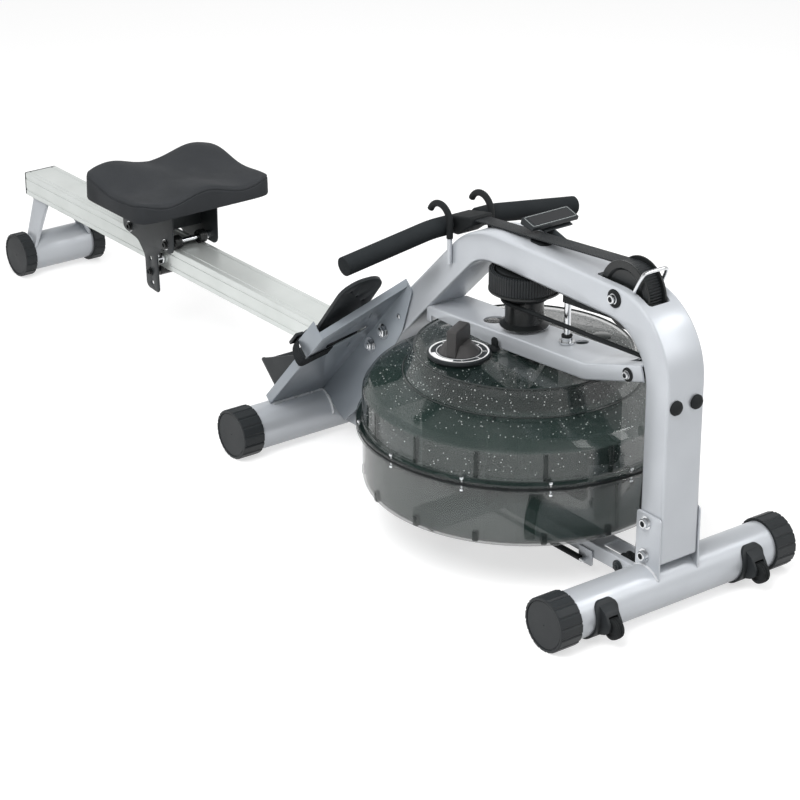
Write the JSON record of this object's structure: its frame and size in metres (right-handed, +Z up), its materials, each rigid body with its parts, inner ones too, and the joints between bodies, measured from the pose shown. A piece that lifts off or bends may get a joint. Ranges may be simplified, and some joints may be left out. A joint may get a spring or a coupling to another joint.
{
  "type": "water rowing machine",
  "caption": "Water rowing machine with an arched tube frame over a round smoked water tank, a handle on a webbing belt, two foot plates with straps and a padded seat rolling on a long rail.",
  "frame": {"origin": "bottom centre of the bounding box, on the floor", "axes": "+X towards the tank end, +Z up, +Y to the left of a person who faces the tank"},
  "size_m": [2.0164, 0.554, 0.561],
  "materials": {
    "silver": "satin",
    "aluminium": "satin",
    "black_plastic": "matte",
    "black_rubber": "matte",
    "seat_foam": "matte",
    "grip_foam": "matte",
    "smoked_plastic": "glossy",
    "bright_steel": "polished",
    "dark_steel": "satin",
    "webbing": "matte"
  },
  "bodies": {
    "frame": {"main_frame": "silver", "front_foot": "silver", "mid_foot": "silver", "rear_foot": "silver", "base_rail": "silver", "top_bracket": "silver", "foot_plate_left": "silver", "foot_plate_right": "silver", "seat_rail": "aluminium", "front_foot_cap_left": "black_plastic", "front_foot_cap_right": "black_plastic", "mid_foot_cap_left": "black_plastic", "mid_foot_cap_right": "black_plastic", "rear_foot_cap_left": "black_plastic", "rear_foot_cap_right": "black_plastic", "transport_bracket_left": "black_plastic", "transport_bracket_right": "black_plastic", "belt_guard": "black_plastic", "rail_end_cap": "black_plastic", "tank_seal": "black_rubber", "handle_hook_left": "black_rubber", "handle_hook_right": "black_rubber", "bungee_cord": "black_rubber", "tank_lower_bowl": "smoked_plastic", "tank_upper_shell": "smoked_plastic", "inner_tank": "smoked_plastic", "tie_rod": "bright_steel", "pulley_axle": "bright_steel", "belt_keeper": "bright_steel", "console_bracket": "dark_steel", "handle_belt": "webbing", "foot_strap_left": "webbing", "foot_strap_right": "webbing"},
    "seat": {"seat_carriage": "dark_steel", "seat_cushion": "seat_foam", "seat_axle_front": "dark_steel", "seat_axle_rear": "dark_steel"},
    "front_rollers": {"seat_roller_front_left": "black_plastic", "seat_roller_front_right": "black_plastic"},
    "rear_rollers": {"seat_roller_rear_left": "black_plastic", "seat_roller_rear_right": "black_plastic"},
    "lower_roller": {"seat_lower_roller": "black_plastic"},
    "handle": {"handle_bar": "bright_steel", "handle_grip_left": "grip_foam", "handle_grip_right": "grip_foam", "belt_clasp": "black_rubber"},
    "pulley": {"front_pulley": "black_plastic"},
    "drum": {"drive_drum": "black_plastic"},
    "paddles": {"impeller": "black_plastic", "impeller_shaft": "bright_steel"},
    "bungee_wheel_upper": {"bungee_pulley_upper": "black_plastic"},
    "bungee_wheel_lower": {"bungee_pulley_lower": "black_plastic"},
    "bungee_wheel_rear": {"bungee_pulley_rear": "black_plastic"},
    "dial": {"adjuster_dial": "black_plastic"},
    "plug": {"fill_plug": "black_rubber"},
    "wheel_left": {"transport_wheel_left": "black_rubber"},
    "wheel_right": {"transport_wheel_right": "black_rubber"},
    "cradle_left": {"foot_cradle_left": "black_plastic"},
    "cradle_right": {"foot_cradle_right": "black_plastic"},
    "console": {"console_housing": "black_plastic"}
  },
  "joints": [
    {"name": "seat_slide", "type": "slide", "parent": "frame", "child": "seat", "axis": [1, 0, 0], "range_m": [-0.385, 0.42]},
    {"name": "front_rollers_turn", "type": "hinge", "parent": "seat", "child": "front_rollers", "pos_m": [-0.43925, 0, 0.2143], "axis": [0, 1, 0], "range_deg": [-1697.8, 1852.1]},
    {"name": "rear_rollers_turn", "type": "hinge", "parent": "seat", "child": "rear_rollers", "pos_m": [-0.56825, 0, 0.2143], "axis": [0, 1, 0], "range_deg": [-1697.8, 1852.1]},
    {"name": "lower_roller_turn", "type": "hinge", "parent": "seat", "child": "lower_roller", "pos_m": [-0.50025, 0, 0.1407], "axis": [0, 1, 0], "range_deg": [-2006.4, 1839.2]},
    {"name": "handle_pull", "type": "slide", "parent": "frame", "child": "handle", "axis": [-1, 0, 0], "range_m": [0, 0.95], "stiffness_N_per_m": 20, "deforming": ["handle_belt", "bungee_cord"]},
    {"name": "pulley_turn", "type": "hinge", "parent": "frame", "child": "pulley", "pos_m": [0.83675, 0, 0.505], "axis": [0, 1, 0], "range_deg": [-1139.7, 1]},
    {"name": "drum_turn", "type": "hinge", "parent": "frame", "child": "drum", "pos_m": [0.57505, 0, 0.42], "axis": [0, 0, 1], "range_deg": [-926.3, 1]},
    {"name": "paddles_turn", "type": "hinge", "parent": "frame", "child": "paddles", "pos_m": [0.57505, 0, 0.18], "axis": [0, 0, 1], "range_deg": [-926.3, 1]},
    {"name": "bungee_upper_turn", "type": "hinge", "parent": "frame", "child": "bungee_wheel_upper", "pos_m": [0.87675, 0, 0.392], "axis": [0, 1, 0], "range_deg": [-1715.6, 1]},
    {"name": "bungee_lower_turn", "type": "hinge", "parent": "frame", "child": "bungee_wheel_lower", "pos_m": [0.84975, 0, 0.043], "axis": [0, 1, 0], "range_deg": [-1280.1, 1]},
    {"name": "bungee_rear_turn", "type": "hinge", "parent": "frame", "child": "bungee_wheel_rear", "pos_m": [0.29275, -0.01605, 0.02695], "axis": [0, 0, 1], "range_deg": [-588.9, 1]},
    {"name": "dial_turn", "type": "hinge", "parent": "frame", "child": "dial", "pos_m": [0.54575, -0.112, 0.335], "axis": [0, 0, 1], "range_deg": [-180, 90]},
    {"name": "plug_lift", "type": "slide", "parent": "frame", "child": "plug", "axis": [0, 0, 1], "range_m": [0, 0.02]},
    {"name": "wheel_left_spin", "type": "hinge", "parent": "frame", "child": "wheel_left", "pos_m": [0.99025, 0.155, 0.034], "axis": [0, 1, 0], "continuous": true},
    {"name": "wheel_right_spin", "type": "hinge", "parent": "frame", "child": "wheel_right", "pos_m": [0.99025, -0.155, 0.034], "axis": [0, 1, 0], "continuous": true},
    {"name": "cradle_left_slide", "type": "slide", "parent": "frame", "child": "cradle_left", "axis": [0.6743, 0, 0.7385], "range_m": [-0.02, 0.02]},
    {"name": "cradle_right_slide", "type": "slide", "parent": "frame", "child": "cradle_right", "axis": [0.6743, 0, 0.7385], "range_m": [-0.02, 0.02]},
    {"name": "console_tilt", "type": "hinge", "parent": "frame", "child": "console", "pos_m": [0.56865, 0.04, 0.54125], "axis": [0, 1, 0], "range_deg": [-60, 0]}
  ],
  "couplings": [
    {"joint": "front_rollers_turn", "follows": "seat_slide", "rad_per_m": 76.923},
    {"joint": "rear_rollers_turn", "follows": "seat_slide", "rad_per_m": 76.923},
    {"joint": "lower_roller_turn", "follows": "seat_slide", "rad_per_m": -83.333},
    {"joint": "pulley_turn", "follows": "handle_pull", "rad_per_m": -20.921},
    {"joint": "drum_turn", "follows": "handle_pull", "rad_per_m": -17},
    {"joint": "paddles_turn", "follows": "handle_pull", "rad_per_m": -17},
    {"joint": "bungee_upper_turn", "follows": "handle_pull", "rad_per_m": -31.5},
    {"joint": "bungee_lower_turn", "follows": "handle_pull", "rad_per_m": -23.5},
    {"joint": "bungee_rear_turn", "follows": "handle_pull", "rad_per_m": -10.8}
  ]
}
